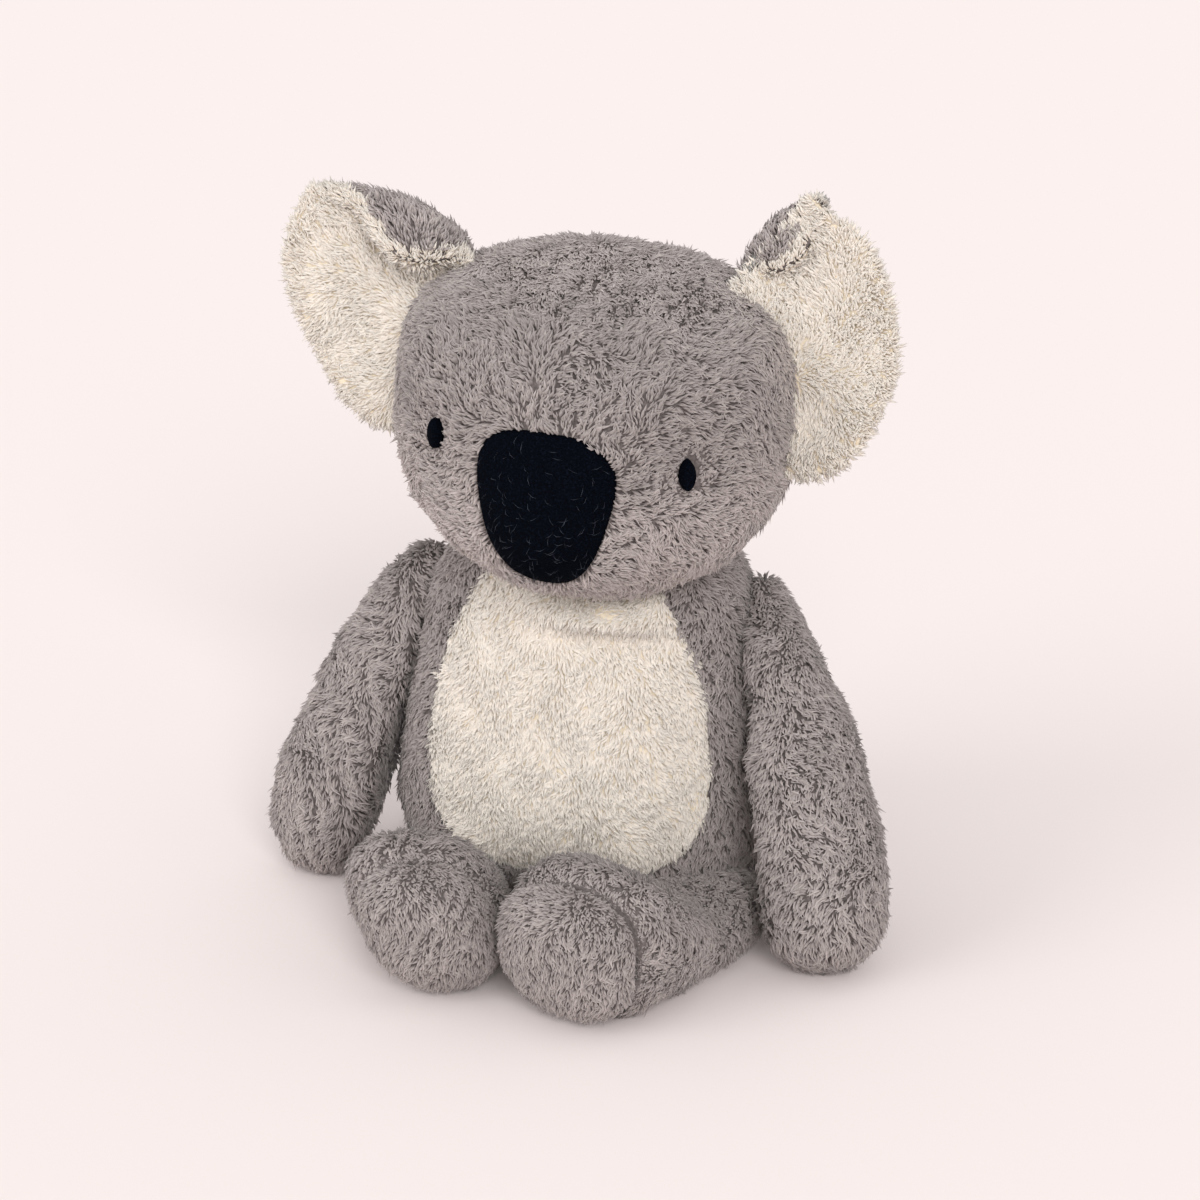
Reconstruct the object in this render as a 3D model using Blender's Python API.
"""A seated plush koala, taken apart as its maker would: plush skins, linings, felt and loose stuffing.

Units are metres. The toy sits on z = 0 and faces -Y, so its own left side is at +X.
The head turns on the neck seam, the arms and the legs swing at their seams, and the ears flap.
Every soft form is one rounded solid that can be drawn in by a wall: the skin is what lies between the
form and the form drawn in by the plush, and the stuffing is the form drawn in a little more.
"""

import math

import bmesh
import bpy
import numpy as np
from mathutils import Matrix, Vector

# The plush's thickness, the clearance between two pieces, and how deep the seat is pressed flat.
PLUSH = 0.0030
GAP = 0.0003
PRESSED = 0.0005

# Body: a pear whose crown is cut off at the neck seam.
NECK_HEIGHT = 0.145
BODY_CROWN = 0.023
BODY_RISE = NECK_HEIGHT + BODY_CROWN
SEAT_HALF_WIDTH = 0.0925
SHOULDER_HALF_WIDTH = 0.0540
SEAT_HALF_DEPTH = 0.0730
SHOULDER_HALF_DEPTH = 0.0400
BODY_PROFILE = (3.4, 3.7)
BODY_SECTION = 2.3
NECK_OPENING = 0.024
NECK_SWING = math.radians(35)
THREAD_THICKNESS = 0.0014

# Belly panel, as seen from the front.
PANEL_HALF_WIDTH = 0.0560
PANEL_LOW = 0.024
PANEL_HIGH = 0.158
PANEL_TAPER = 0.16
PANEL_POWER = 3.2

# Bag of plastic granules, low in the seat.
BAG_HALF_WIDTH = 0.048
BAG_HALF_DEPTH = 0.036
BAG_RISE = 0.034
BAG_BACK = 0.014

# Head, in its own frame: it leans forwards and a little to its own left.
HEAD_LIFT = 0.058
HEAD_CENTRE = Vector((0.0075, -0.026, NECK_HEIGHT + HEAD_LIFT))
HEAD_HALF_WIDTH = 0.0775
HEAD_HALF_DEPTH = 0.0660
HEAD_HALF_HEIGHT = 0.0630
HEAD_PITCH = math.radians(13)
HEAD_ROLL = math.radians(4)
HEAD_YAW = math.radians(-2)
HEAD_CROWN = 3.4
HEAD_JAW = 2.35
HEAD_SECTION = 2.2
HEAD_TAPER = 0.02
SNOUT_REACH = 0.013
SNOUT_HALF_WIDTH = 0.034
SNOUT_HALF_HEIGHT = 0.038
SNOUT_HEIGHT = -0.010

# Felt nose and eyes, on the head's surface.
NOSE_HALF_WIDTH = 0.0245
NOSE_HALF_HEIGHT = 0.0325
NOSE_TAPER = 0.30
NOSE_POWER = 2.7
NOSE_HEIGHT = 0.000
NOSE_THICKNESS = 0.0022
EYE_HALF_WIDTH = 0.0036
EYE_HALF_HEIGHT = 0.0072
EYE_POWER = 1.7
EYE_HEIGHT = 0.0155
EYE_BEARING = math.radians(38.5)
EYE_THICKNESS = 0.0016

# Ears: a grey back and a cream lining, sewn round their edge. The outline is (out, up) from the hinge.
EAR_HEIGHT = 0.024
EAR_BEARING = math.radians(12)
EAR_LEAN = math.radians(18)
EAR_SWEEP = {-1: math.radians(8), 1: math.radians(16)}
EAR_OUTLINE = {
    -1: (
        (-0.014, -0.020),
        (-0.008, -0.036),
        (0.004, -0.043),
        (0.017, -0.040),
        (0.029, -0.031),
        (0.041, -0.018),
        (0.052, -0.005),
        (0.059, 0.009),
        (0.061, 0.023),
        (0.057, 0.038),
        (0.047, 0.051),
        (0.032, 0.060),
        (0.015, 0.065),
        (-0.001, 0.064),
        (-0.013, 0.051),
        (-0.018, 0.030),
        (-0.017, 0.003),
    ),
    1: (
        (-0.014, -0.016),
        (-0.010, -0.030),
        (0.002, -0.037),
        (0.016, -0.035),
        (0.028, -0.025),
        (0.038, -0.009),
        (0.044, 0.007),
        (0.044, 0.024),
        (0.041, 0.041),
        (0.034, 0.057),
        (0.020, 0.067),
        (0.004, 0.068),
        (-0.010, 0.060),
        (-0.017, 0.042),
        (-0.017, 0.012),
    ),
}
EAR_CENTRE = (0.014, 0.010)
EAR_LAYER = 0.0050
EAR_EDGE = 0.0016
EAR_CUP = 0.010
EAR_HEM = 0.0020
EAR_SWING = math.radians(25)
EAR_ROLL = {
    -1: (math.radians(11), 0.0270, 0.014, math.radians(105)),
    1: (math.radians(22), 0.0460, 0.014, math.radians(55)),
}

# Arms, measured from the shoulder joint: they hang down the flank, flat against it, and are turned
# forwards by their hang. They can be raised until they point straight ahead and a little up.
SHOULDER_HEIGHT = 0.108
ARM_RISE = 0.0270
ARM_DROP = {-1: 0.1190, 1: 0.1380}
ARM_SHOULDER_HALF_WIDTH = 0.0200
ARM_HAND_HALF_WIDTH = 0.0255
ARM_SHOULDER_HALF_THICKNESS = {-1: 0.0165, 1: 0.0120}
ARM_HAND_HALF_THICKNESS = 0.0257
ARM_PROFILE = (2.6, 3.0)
ARM_SECTION = 2.2
ARM_FLAT = 0.0065
ARM_MOUTH = 0.007
ARM_HANG = {-1: math.radians(18), 1: math.radians(39)}
ARM_RAISED = math.radians(93)
ARM_BACK = math.radians(30)

# Legs, measured from the hip joint: a ball in the body's socket, a tube, and an upturned foot.
HIP_SPREAD = 0.0600
HIP_FORWARD = 0.0440
HIP_BALL = 0.0165
TOE_IN = {-1: math.radians(17.5), 1: math.radians(20)}
FEET_MEET = -0.006
LEG_BACK = 0.020
LEG_REACH = {-1: 0.1075, 1: 0.1185}
SHIN_HALF_WIDTH = 0.0305
SHIN_HALF_HEIGHT = 0.0125
FOOT_HALF_WIDTH = {-1: 0.0295, 1: 0.0350}
FOOT_HALF_HEIGHT = 0.0300
FOOT_DEPTH = 0.030
INSTEP = 0.058
FOOT_LEAN = {-1: 0.26, 1: 0}
SOLE_DEPTH = 0.011
LEG_PROFILE = (3.0, 3.6)
LEG_SECTION = 2.5
LEG_LIFT = math.radians(20)
LEG_DROP = math.radians(60)

# How finely the skins and what they hide are divided: rings from end to end, points round each ring.
FINE = (13, 32)
PLAIN = (9, 20)
LIMB = (12, 18)
LIMB_PLAIN = (8, 12)
EAR_RINGS = 7
EAR_POINTS = 34
FAR = 0.6

MATERIALS = {
    "grey_plush": ("8F8A88", 0.95),
    "cream_plush": ("EFE8DD", 0.95),
    "navy_felt": ("101522", 0.98),
    "stuffing": ("F4F4F2", 1.00),
    "pellet_bag": ("D9D4C8", 0.80),
    "thread": ("77726F", 0.70),
}


def linear(hex_colour):
    """An sRGB hex colour as linear red, green, blue and alpha."""
    parts = [int(hex_colour[i : i + 2], 16) / 255 for i in (0, 2, 4)]
    return [c / 12.92 if c <= 0.04045 else ((c + 0.055) / 1.055) ** 2.4 for c in parts] + [1.0]


def material(name):
    """The named material, made the first time it is asked for."""
    found = bpy.data.materials.get(name)
    if found:
        return found
    colour, roughness = MATERIALS[name]
    made = bpy.data.materials.new(name)
    made.use_nodes = True
    shader = made.node_tree.nodes["Principled BSDF"]
    shader.inputs["Base Color"].default_value = linear(colour)
    shader.inputs["Roughness"].default_value = roughness
    shader.inputs["Metallic"].default_value = 0.0
    made.diffuse_color = linear(colour)
    return made


def shape(name, points, faces):
    """A new mesh object, with its faces turned outwards."""
    points = np.asarray(points, float)
    volume = 0.0
    for face in faces:
        for k in range(1, len(face) - 1):
            volume += np.dot(points[face[0]], np.cross(points[face[k]], points[face[k + 1]]))
    if volume < 0:
        faces = [face[::-1] for face in faces]
    mesh = bpy.data.meshes.new(name)
    mesh.from_pydata(points.tolist(), [], faces)
    made = bpy.data.objects.new(name, mesh)
    bpy.context.scene.collection.objects.link(made)
    return made


def loft(name, rings, first, last, folded_at=math.inf):
    """A closed solid through rings of points, closed by a fan to one point at each end.

    From the ring where it's folded back on itself, its squares are split along the other diagonal.
    """
    count, around = rings.shape[:2]
    points = np.concatenate([rings.reshape(-1, 3), [first, last]])
    faces = []
    for i in range(around):
        j = (i + 1) % around
        faces.append([count * around, j, i])
        end = (count - 1) * around
        faces.append([count * around + 1, end + i, end + j])
        for k in range(count - 1):
            a, b, c, d = k * around + i, k * around + j, (k + 1) * around + j, (k + 1) * around + i
            faces += [[a, b, c], [a, c, d]] if k < folded_at else [[a, b, d], [b, c, d]]
    return shape(name, points, faces)


def rooted(v, power):
    """The superellipse's way of rounding a sine or a cosine."""
    return np.sign(v) * np.abs(v) ** (2 / power)


def egg(fineness, profile, section):
    """Unit rings of a rounded solid: x and y lie in the section, z runs along it, from -1 to 1.

    The profile is two powers, of its lower and its upper half. Two is round, and more is boxier.
    """
    rings, around = fineness
    turn = np.linspace(0, math.pi, rings + 2)[1:-1, None]
    angle = np.linspace(0, 2 * math.pi, around, endpoint=False)[None, :]
    power = np.where(np.cos(turn) > 0, *profile)
    reach = rooted(np.sin(turn), power)
    along = -rooted(np.cos(turn), power) * np.ones_like(angle)
    across = reach * rooted(np.cos(angle), section)
    ahead = reach * rooted(np.sin(angle), section)
    return np.stack([across, ahead, along], -1)


def egg_reach(along, profile):
    """The unit egg's radius at a place along it."""
    power = profile[along > 0]
    return (1 - abs(along) ** power) ** (1 / power)


def formed(name, place, fineness, profile, section, inset):
    """The solid that place() makes of the unit egg, drawn in by inset."""
    rings = place(egg(fineness, profile, section), inset)
    ends = place(np.array([[0.0, 0.0, -1.0], [0.0, 0.0, 1.0]]), inset)
    return loft(name, rings, ends[0], ends[1])


def mix(low, high, along):
    """From low at along = -1 to high at along = 1."""
    return low + (high - low) * (along + 1) / 2


def tidied(mesh, distance=1e-6):
    """Welds the points that a Boolean leaves on each other and divides every face into triangles."""
    work = bmesh.new()
    work.from_mesh(mesh)
    bmesh.ops.remove_doubles(work, verts=work.verts, dist=distance)
    bmesh.ops.dissolve_degenerate(work, edges=work.edges, dist=distance)
    bmesh.ops.triangulate(work, faces=work.faces)
    work.to_mesh(mesh)
    work.free()
    return mesh


def carve(piece, tool, operation="DIFFERENCE"):
    """Cuts, joins or intersects a piece with a tool, and uses the tool up."""
    modifier = piece.modifiers.new("Carve", "BOOLEAN")
    modifier.operation = operation
    modifier.object = tool
    graph = bpy.context.evaluated_depsgraph_get()
    carved = bpy.data.meshes.new_from_object(piece.evaluated_get(graph))
    piece.modifiers.clear()
    before = piece.data
    piece.data = tidied(carved)
    bpy.data.meshes.remove(before)
    bpy.data.meshes.remove(tool.data)
    return piece


def block(low, high):
    """A box between two corners."""
    corners = [[x, y, z] for x in (low[0], high[0]) for y in (low[1], high[1]) for z in (low[2], high[2])]
    faces = [[0, 1, 3, 2], [4, 6, 7, 5], [0, 4, 5, 1], [2, 3, 7, 6], [0, 2, 6, 4], [1, 5, 7, 3]]
    return shape("block", corners, faces)


def half_space(point, normal):
    """A big box that fills the side of a plane that its normal points to."""
    box = block((-FAR, -FAR, 0), (FAR, FAR, FAR))
    turn = Vector(normal).to_track_quat("Z", "Y").to_matrix().to_4x4()
    box.data.transform(Matrix.Translation(point) @ turn)
    return box


def rod(point, axis, radius, length, around=24):
    """A round bar about a point, along an axis."""
    angle = np.linspace(0, 2 * math.pi, around, endpoint=False)
    ring = np.stack([radius * np.cos(angle), radius * np.sin(angle), np.zeros(around)], 1)
    ends = np.array([[0, 0, -length / 2], [0, 0, length / 2]])
    bar = loft("rod", np.stack([ring + ends[0], ring + ends[1]]), ends[0], ends[1])
    turn = Vector(axis).to_track_quat("Z", "Y").to_matrix().to_4x4()
    bar.data.transform(Matrix.Translation(point) @ turn)
    return bar


def ball(centre, radius, fineness):
    """A ball whose poles lie across the body, along X."""
    unit = egg(fineness, (2.0, 2.0), 2.0)[..., [2, 0, 1]]
    tip = Vector((radius, 0, 0))
    return loft("ball", unit * radius + centre, centre - tip, centre + tip)


def turned(piece, point, axis, angle):
    """The same piece, turned about a line."""
    move = Matrix.Translation(point)
    piece.data.transform(move @ Matrix.Rotation(angle, 4, Vector(axis)) @ move.inverted())
    return piece


def finish(piece, name, finish_name, pivot=None):
    """Names a piece, gives it its material, shades it smooth and puts its origin on its joint."""
    piece.name = name
    piece.data.name = name
    piece.data.materials.clear()
    piece.data.materials.append(material(finish_name))
    piece.data.shade_smooth()
    piece.data.set_sharp_from_angle(angle=math.radians(40))
    if pivot is not None:
        piece.data.transform(Matrix.Translation(-Vector(pivot)))
        piece.location = pivot
    return piece


def body_place(unit, inset):
    """The body's surface: half-width and half-depth change evenly from the seat to the shoulders."""
    along = unit[..., 2]
    half = (BODY_RISE + PRESSED) / 2
    width = mix(SEAT_HALF_WIDTH, SHOULDER_HALF_WIDTH, along) - inset
    depth = mix(SEAT_HALF_DEPTH, SHOULDER_HALF_DEPTH, along) - inset
    return np.stack([unit[..., 0] * width, unit[..., 1] * depth, half - PRESSED + (half - inset) * along], -1)


def body_flank(height):
    """The body's half-width at a height."""
    half = (BODY_RISE + PRESSED) / 2
    along = (height + PRESSED) / half - 1
    return egg_reach(along, BODY_PROFILE) * mix(SEAT_HALF_WIDTH, SHOULDER_HALF_WIDTH, along)


def plain_body(inset, fineness):
    """The body's whole pear, before anything is cut from it."""
    return formed("body", body_place, fineness, BODY_PROFILE, BODY_SECTION, inset)


def hip(side):
    """The hip joint: the ball rests on the seat's plane, and is pressed flat with it."""
    return Vector((side * HIP_SPREAD, -HIP_FORWARD, HIP_BALL - PRESSED))


def hip_socket():
    """The socket's radius: the middles of its flat facets clear the corners of the turning ball."""
    return (HIP_BALL + GAP) / math.cos(math.pi / LIMB[1])


def body_form(inset, fineness):
    """The pear with its flat seat, its neck seam and its two hip sockets."""
    piece = plain_body(inset, fineness)
    carve(piece, half_space((0, 0, inset), (0, 0, -1)))
    carve(piece, half_space((0, 0, NECK_HEIGHT - GAP / 2 - inset), (0, 0, 1)))
    for side in (-1, 1):
        carve(piece, ball(hip(side), hip_socket() + inset, LIMB))
    return piece


def extruded(outline, low, high):
    """An outline in the XZ plane, carried along Y."""
    ring = np.array([[x, 0, z] for x, z in outline])
    rings = np.stack([ring + [0, low, 0], ring + [0, high, 0]])
    middle = ring.mean(axis=0)
    return loft("extruded", rings, middle + [0, low, 0], middle + [0, high, 0])


def panel_outline(inset, around=40):
    """The belly panel from the front: a rounded rectangle, a little narrower at the top."""
    angle = np.linspace(0, 2 * math.pi, around, endpoint=False)
    half = (PANEL_HIGH - PANEL_LOW) / 2
    up = rooted(np.sin(angle), PANEL_POWER)
    width = (PANEL_HALF_WIDTH - inset) * (1 - PANEL_TAPER * up)
    return list(zip(rooted(np.cos(angle), PANEL_POWER) * width, PANEL_LOW + half + (half - inset) * up))


def make_body():
    """Skin, belly panel, stuffing, granule bag and the thread of the neck seam."""
    shell = body_form(0, FINE)
    carve(shell, body_form(PLUSH, PLAIN))
    carve(shell, rod((0, 0, NECK_HEIGHT), (0, 0, 1), NECK_OPENING, 8 * PLUSH))
    panel = bpy.data.objects.new("panel", shell.data.copy())
    bpy.context.scene.collection.objects.link(panel)
    carve(shell, extruded(panel_outline(0), -FAR, 0))
    carve(panel, extruded(panel_outline(GAP), -FAR, 0), "INTERSECT")
    finish(shell, "body_skin", "grey_plush")
    finish(panel, "belly_panel", "cream_plush")

    stuffing = body_form(PLUSH + GAP, PLAIN)
    carve(stuffing, bag_form(-GAP))
    carve(stuffing, rod((0, 0, NECK_HEIGHT), (0, 0, 1), NECK_OPENING, 8 * PLUSH))
    finish(stuffing, "body_stuffing", "stuffing")
    bag = carve(bag_form(0), body_form(PLUSH + GAP, PLAIN), "INTERSECT")
    finish(bag, "seat_pellet_bag", "pellet_bag")


def bag_place(unit, inset):
    """The granule bag's surface: a low dome about a point of the seat, behind its middle."""
    half = np.array([BAG_HALF_WIDTH, BAG_HALF_DEPTH, BAG_RISE]) - inset
    return unit * half + [0, BAG_BACK, PLUSH + GAP]


def bag_form(inset):
    """The whole dome, which the seat's plush and the hip sockets then cut."""
    return formed("bag", bag_place, PLAIN, BODY_PROFILE, BODY_SECTION, inset)


HEAD_LEAN = Matrix.Rotation(HEAD_ROLL, 3, "Y") @ Matrix.Rotation(HEAD_PITCH, 3, "X")
HEAD_TURN = Matrix.Rotation(HEAD_YAW, 3, "Z") @ HEAD_LEAN


def head_world(local):
    """Points of the head's own frame, in the toy's."""
    return np.asarray(local) @ np.array(HEAD_TURN).T + np.array(HEAD_CENTRE)


def head_local(unit, inset):
    """The head's surface in its own frame: a boxy egg with a soft swelling for the snout."""
    along = unit[..., 2]
    wide = 1 + HEAD_TAPER * along
    x = unit[..., 0] * (HEAD_HALF_WIDTH * wide - inset)
    y = unit[..., 1] * (HEAD_HALF_DEPTH - inset)
    z = along * (HEAD_HALF_HEIGHT - inset)
    front = np.clip(-unit[..., 1], 0, None)
    fall = (x / SNOUT_HALF_WIDTH) ** 2 + ((z - SNOUT_HEIGHT) / SNOUT_HALF_HEIGHT) ** 2
    return np.stack([x, y - SNOUT_REACH * front * np.exp(-fall), z], -1)


def head_unit(height, bearing):
    """The unit point at a height above the head's centre and a bearing from +X, round by the back."""
    along = height / HEAD_HALF_HEIGHT
    reach = egg_reach(along, (HEAD_JAW, HEAD_CROWN))
    across = rooted(math.cos(bearing), HEAD_SECTION)
    back = rooted(math.sin(bearing), HEAD_SECTION)
    return np.array([reach * across, reach * back, along])


def head_spot(height, bearing):
    """A point of the head's surface, the direction up along it and its outward normal."""
    step = 1e-4
    here = head_world(head_local(head_unit(height, bearing), 0))
    above = head_world(head_local(head_unit(height + step, bearing), 0))
    beside = head_world(head_local(head_unit(height, bearing + step / HEAD_HALF_WIDTH), 0))
    up = Vector(above - here).normalized()
    return Vector(here), up, Vector(beside - here).cross(up).normalized()


def plain_head(inset, fineness):
    """The head's whole egg, before the neck is cut from it."""

    def place(unit, drawn):
        return head_world(head_local(unit, drawn))

    return formed("head", place, fineness, (HEAD_JAW, HEAD_CROWN), HEAD_SECTION, inset)


def head_form(inset, fineness):
    """The head, cut off at the neck seam."""
    piece = plain_head(inset, fineness)
    return carve(piece, half_space((0, 0, NECK_HEIGHT + GAP / 2 + inset), (0, 0, -1)))


def felt_outline(half_width, half_height, power, taper, around):
    """A felt patch from the front: a superellipse that can be wider at the top."""
    angle = np.linspace(0, 2 * math.pi, around, endpoint=False)
    up = rooted(np.sin(angle), power)
    return list(zip(half_width * rooted(np.cos(angle), power) * (1 + taper * up), half_height * up))


def felt_patch(outline, spot, forward, up, thickness):
    """A felt patch that lies on the head's skin: the head's own surface, thickened, inside an outline."""
    patch = extruded(outline, -0.03, 0.03)
    side = up.cross(forward).normalized()
    frame = Matrix((side, -forward, side.cross(-forward))).transposed().to_4x4()
    patch.data.transform(Matrix.Translation(spot) @ frame)
    carve(patch, plain_head(-GAP - thickness, FINE), "INTERSECT")
    return carve(patch, plain_head(-GAP, FINE))


def make_head(pivot):
    """Skin, stuffing, nose and eyes."""
    skin = head_form(0, FINE)
    carve(skin, head_form(PLUSH, PLAIN))
    carve(skin, rod(pivot, (0, 0, 1), NECK_OPENING, 8 * PLUSH))
    finish(skin, "head_skin", "grey_plush", pivot)

    stuffing = head_form(PLUSH + GAP, PLAIN)
    carve(stuffing, rod(pivot, (0, 0, 1), NECK_OPENING, 8 * PLUSH))
    finish(stuffing, "head_stuffing", "stuffing", pivot)

    ahead = Vector(HEAD_TURN @ Vector((0, -1, 0)))
    upward = Vector(HEAD_TURN @ Vector((0, 0, 1)))
    spot = head_spot(NOSE_HEIGHT, -math.pi / 2)[0]
    outline = felt_outline(NOSE_HALF_WIDTH, NOSE_HALF_HEIGHT, NOSE_POWER, NOSE_TAPER, 30)
    finish(felt_patch(outline, spot, ahead, upward, NOSE_THICKNESS), "nose_patch", "navy_felt", pivot)
    for name, side in (("eye_right", -1), ("eye_left", 1)):
        spot, up, out = head_spot(EYE_HEIGHT, -math.pi / 2 + side * EYE_BEARING)
        outline = felt_outline(EYE_HALF_WIDTH, EYE_HALF_HEIGHT, EYE_POWER, 0, 16)
        finish(felt_patch(outline, spot, out, up, EYE_THICKNESS), name, "navy_felt", pivot)


def closed_curve(corners, around):
    """A smooth closed curve through a few points, evenly divided between them."""
    corners = np.array(corners)
    step = np.linspace(0, len(corners), around, endpoint=False)
    k = step.astype(int)
    t = (step - k)[:, None]
    before, here, after, next_one = (corners[(k + shift) % len(corners)] for shift in (-1, 0, 1, 2))
    bend = 2 * before - 5 * here + 4 * after - next_one
    swing = 3 * here - 3 * after + next_one - before
    return (2 * here + (after - before) * t + bend * t**2 + swing * t**3) / 2


def rolled(points, roll):
    """The ear's upper edge rolled forwards about a slanting line.

    The roll is the line's slant, its distance from the hinge, the roll's radius and how far it goes round.
    """
    slant, start, radius, limit = roll
    beyond_line = np.array([-math.sin(slant), math.cos(slant)])
    over = np.clip(points[..., :2] @ beyond_line - start, 0, None)
    bend = np.minimum(over / radius, limit)
    straight = over - bend * radius
    lift = points[..., 2]
    shift = radius * np.sin(bend) + straight * np.cos(bend) - over - lift * np.sin(bend)
    ahead = radius * (1 - np.cos(bend)) + straight * np.sin(bend) + lift * np.cos(bend)
    return np.concatenate([points[..., :2] + shift[..., None] * beyond_line, ahead[..., None]], -1)


def ear_hinge(side):
    """The seam at the ear's base: a point on the head's side, the seam's direction and the way out."""
    bearing = EAR_BEARING if side > 0 else math.pi - EAR_BEARING
    spot, up, out = head_spot(EAR_HEIGHT, bearing)
    return spot, Matrix.Rotation(-side * EAR_LEAN, 3, out) @ up, out


def ear_layer(side, inner, outer, hem):
    """One layer of an ear, between two lifts from its middle surface, in the toy's frame."""
    outline = closed_curve(EAR_OUTLINE[side], EAR_POINTS)
    centre = np.array(EAR_CENTRE)
    span = np.linalg.norm(outline - centre, axis=1)[:, None]
    spread = [np.full_like(span, u) for u in np.linspace(0, 1, EAR_RINGS + 1)[1:]]
    if hem > 0:
        spread.append(1 + hem / span)

    def surface(lift, rim):
        rings = []
        for u in spread:
            height = EAR_CUP * u**2 + lift + (rim - lift) * np.minimum(u, 1) ** 4
            rings.append(np.hstack([centre + (outline - centre) * u, height]))
        return np.array(rings), np.array([*centre, lift])

    rim = inner + math.copysign(EAR_EDGE, outer - inner)
    near, near_centre = surface(inner, inner)
    far, far_centre = surface(outer, rim)
    rings = rolled(np.concatenate([near, far[::-1]]), EAR_ROLL[side])
    ends = rolled(np.array([near_centre, far_centre]), EAR_ROLL[side])

    spot, up, out = ear_hinge(side)
    ahead = up.cross(out) * -side
    sweep = Matrix.Rotation(-side * EAR_SWEEP[side], 3, up)
    frame = np.array([sweep @ out, up, sweep @ ahead])
    layer = loft("ear", rings @ frame + np.array(spot), *(ends @ frame + np.array(spot)), len(near))
    for share in (-1, -0.5, 0, 0.5, 1):
        head = turned(plain_head(-GAP, FINE), spot, up, share * EAR_SWING)
        carve(layer, head)
    return layer


def make_ears():
    """Back and lining of each ear. The right ear's upper edge is rolled well forwards."""
    for name, side in (("right", -1), ("left", 1)):
        pivot = ear_hinge(side)[0]
        back = ear_layer(side, -GAP / 2, -EAR_LAYER, EAR_HEM)
        finish(back, "ear_back_" + name, "grey_plush", pivot)
        lining = ear_layer(side, GAP / 2, EAR_LAYER, 0)
        finish(lining, "ear_lining_" + name, "cream_plush", pivot)


def shoulder(side):
    """The shoulder joint, and the outward normal of the flank there, which is the joint's axis."""
    step = 1e-4
    lean = (body_flank(SHOULDER_HEIGHT - step) - body_flank(SHOULDER_HEIGHT + step)) / (2 * step)
    out = Vector((side, 0, lean)).normalized()
    return Vector((side * body_flank(SHOULDER_HEIGHT), 0, SHOULDER_HEIGHT)) + out * GAP, out


def arm_place(side):
    """The arm's surface: it lies on the flank's tangent plane and widens towards the hand."""
    point, out = shoulder(side)
    down = Vector((side * out.z, 0, -abs(out.x)))
    ahead = Vector((0, -1, 0))
    along_arm = down * math.cos(ARM_HANG[side]) + ahead * math.sin(ARM_HANG[side])
    across = ahead * math.cos(ARM_HANG[side]) - down * math.sin(ARM_HANG[side])
    frame = np.array([across, out, along_arm])
    half = (ARM_RISE + ARM_DROP[side]) / 2

    def place(unit, inset):
        along = unit[..., 2]
        swell = np.sin((along + 1) * math.pi / 4)
        width = mix(ARM_SHOULDER_HALF_WIDTH, ARM_HAND_HALF_WIDTH, 2 * swell - 1)
        thick = mix(ARM_SHOULDER_HALF_THICKNESS[side], ARM_HAND_HALF_THICKNESS, 2 * swell - 1)
        local = np.stack(
            [
                unit[..., 0] * (width - inset),
                unit[..., 1] * (thick - inset) + thick - ARM_FLAT,
                (half - inset) * along + half - ARM_RISE,
            ],
            -1,
        )
        return local @ frame + np.array(point)

    return place


def arm_form(side, inset, fineness):
    """The arm with its flat inner side, and pressed flat where it meets the ground."""
    point, out = shoulder(side)
    piece = formed("arm", arm_place(side), fineness, ARM_PROFILE, ARM_SECTION, inset)
    carve(piece, half_space(point + out * inset, -out))
    return carve(piece, half_space((0, 0, inset), (0, 0, -1)))


def make_arms():
    """Skin and stuffing of each arm."""
    for name, side in (("right", -1), ("left", 1)):
        pivot, out = shoulder(side)
        skin = arm_form(side, 0, LIMB)
        carve(skin, arm_form(side, PLUSH, LIMB_PLAIN))
        carve(skin, rod(pivot, out, ARM_MOUTH, 3 * PLUSH))
        finish(skin, "arm_skin_" + name, "grey_plush", pivot)
        stuffing = arm_form(side, PLUSH + GAP, LIMB_PLAIN)
        finish(stuffing, "arm_stuffing_" + name, "stuffing", pivot)


def leg_ahead(side):
    """The way the leg points: both toe in, the left one further."""
    return Vector((-side * math.sin(TOE_IN[side]), -math.cos(TOE_IN[side]), 0))


def leg_place(side):
    """The leg's surface: flat at the hip seam, it rises over the instep to an upturned foot."""
    point = hip(side)
    ahead = leg_ahead(side)
    frame = np.array([ahead.cross(Vector((0, 0, 1))), Vector((0, 0, 1)), ahead])
    half = (LEG_BACK + LEG_REACH[side]) / 2

    def place(unit, inset):
        reach = (half - inset) * unit[..., 2] + half - LEG_BACK
        foot = np.clip((reach - LEG_REACH[side] + FOOT_DEPTH + INSTEP) / INSTEP, 0, 1)
        foot = foot * foot * (3 - 2 * foot)
        width = SHIN_HALF_WIDTH + (FOOT_HALF_WIDTH[side] - SHIN_HALF_WIDTH) * foot
        height = SHIN_HALF_HEIGHT + (FOOT_HALF_HEIGHT - SHIN_HALF_HEIGHT) * foot
        rise = unit[..., 1] * (height - inset)
        across = unit[..., 0] * (width - inset) + FOOT_LEAN[side] * foot * rise
        local = np.stack([across, rise + height - PRESSED - point.z, reach], -1)
        return local @ frame + np.array(point)

    return place


def leg_form(side, inset, fineness, body_fineness):
    """The tube, cleared of the body through its whole swing, joined to the ball in the hip socket."""
    piece = formed("leg", leg_place(side), fineness, LEG_PROFILE, LEG_SECTION, inset)
    for angle in np.linspace(-LEG_DROP, LEG_LIFT, 5).tolist() + [0.0]:
        body = plain_body(-GAP - inset, body_fineness)
        carve(piece, turned(body, hip(side), (1, 0, 0), angle))
    carve(piece, ball(hip(side), HIP_BALL - inset, fineness), "UNION")
    carve(piece, half_space((0, 0, inset), (0, 0, -1)))
    carve(piece, half_space((FEET_MEET + side * (GAP / 2 + inset), 0, 0), (-side, 0, 0)))
    return piece


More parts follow.
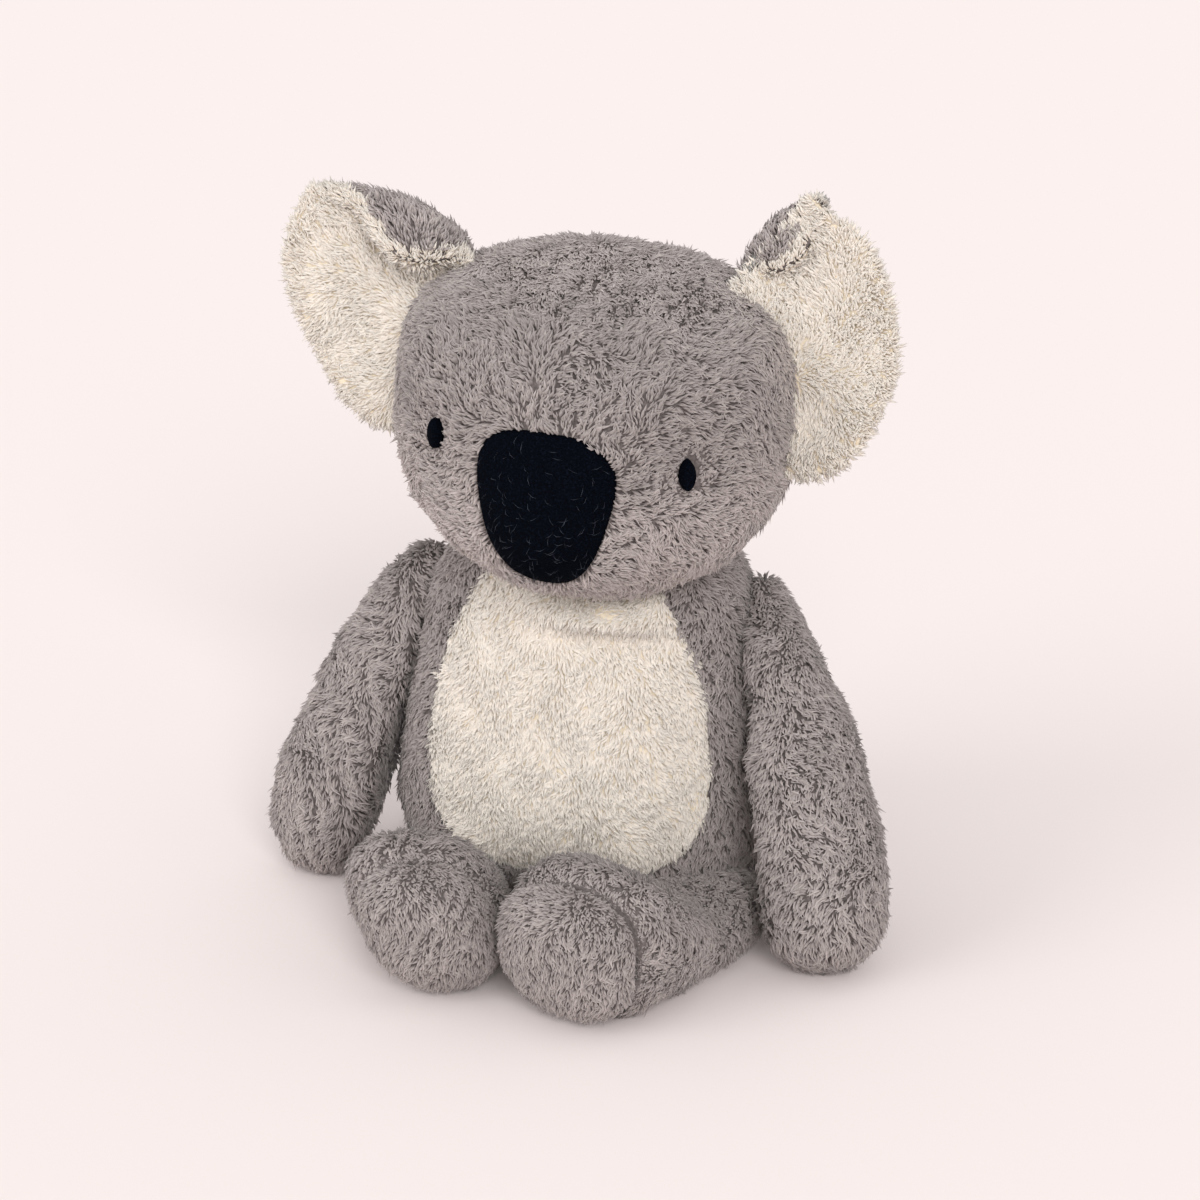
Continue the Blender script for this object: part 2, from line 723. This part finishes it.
def sole_plane(side, shift):
    """The plane of the seam between leg and sole, as a point and the way towards the toes."""
    ahead = leg_ahead(side)
    return hip(side) + ahead * (LEG_REACH[side] - SOLE_DEPTH + shift), ahead


def make_legs():
    """Skin, sole and stuffing of each leg."""
    for name, side in (("right", -1), ("left", 1)):
        pivot = hip(side)
        skin = leg_form(side, 0, LIMB, FINE)
        carve(skin, leg_form(side, PLUSH, LIMB_PLAIN, PLAIN))
        sole = bpy.data.objects.new("sole", skin.data.copy())
        bpy.context.scene.collection.objects.link(sole)
        point, ahead = sole_plane(side, -GAP / 2)
        carve(skin, half_space(point, ahead))
        point, ahead = sole_plane(side, GAP / 2)
        carve(sole, half_space(point, -ahead))
        finish(skin, "leg_skin_" + name, "grey_plush", pivot)
        finish(sole, "sole_" + name, "grey_plush", pivot)
        stuffing = leg_form(side, PLUSH + GAP, LIMB_PLAIN, PLAIN)
        finish(stuffing, "leg_stuffing_" + name, "stuffing", pivot)


def make_thread():
    """The thread that draws the neck opening in: a ring that lies in the body's neck opening."""
    angle = np.linspace(0, 2 * math.pi, 40, endpoint=False)
    around = np.linspace(0, 2 * math.pi, 8, endpoint=False)
    radius = NECK_OPENING - GAP - THREAD_THICKNESS / 2
    height = NECK_HEIGHT - GAP - THREAD_THICKNESS / 2
    points = []
    for a in angle:
        reach = radius + THREAD_THICKNESS / 2 * np.cos(around)
        rise = height + THREAD_THICKNESS / 2 * np.sin(around)
        points += np.column_stack([reach * math.cos(a), reach * math.sin(a), rise]).tolist()
    faces = []
    for i in range(len(angle)):
        j = (i + 1) % len(angle)
        for k in range(len(around)):
            m = (k + 1) % len(around)
            faces.append([i * 8 + k, j * 8 + k, j * 8 + m, i * 8 + m])
    finish(shape("thread", points, faces), "neck_thread", "thread")


for startup in list(bpy.data.objects):
    bpy.data.objects.remove(startup)
make_body()
make_thread()
make_head(Vector((0, 0, NECK_HEIGHT)))
make_ears()
make_arms()
make_legs()


def tell(joint, point, axis, low, high):
    """Prints a joint's point in mm, its axis, and its lower and upper limits in degrees."""
    place = [round(1000 * v, 2) for v in point]
    way = [round(v, 5) for v in axis]
    print(joint, place, way, [round(math.degrees(low), 1), round(math.degrees(high), 1)])


tell("neck_turn", (0, 0, NECK_HEIGHT), (0, 0, 1), -NECK_SWING, NECK_SWING)
for name, side in (("right", -1), ("left", 1)):
    point, out = shoulder(side)
    tell("shoulder_" + name, point, out * -side, -ARM_BACK, ARM_RAISED - ARM_HANG[side])
    tell("hip_" + name, hip(side), (-1, 0, 0), -LEG_DROP, LEG_LIFT)
    tell("ear_flap_" + name, *ear_hinge(side)[:2], -EAR_SWING, EAR_SWING)
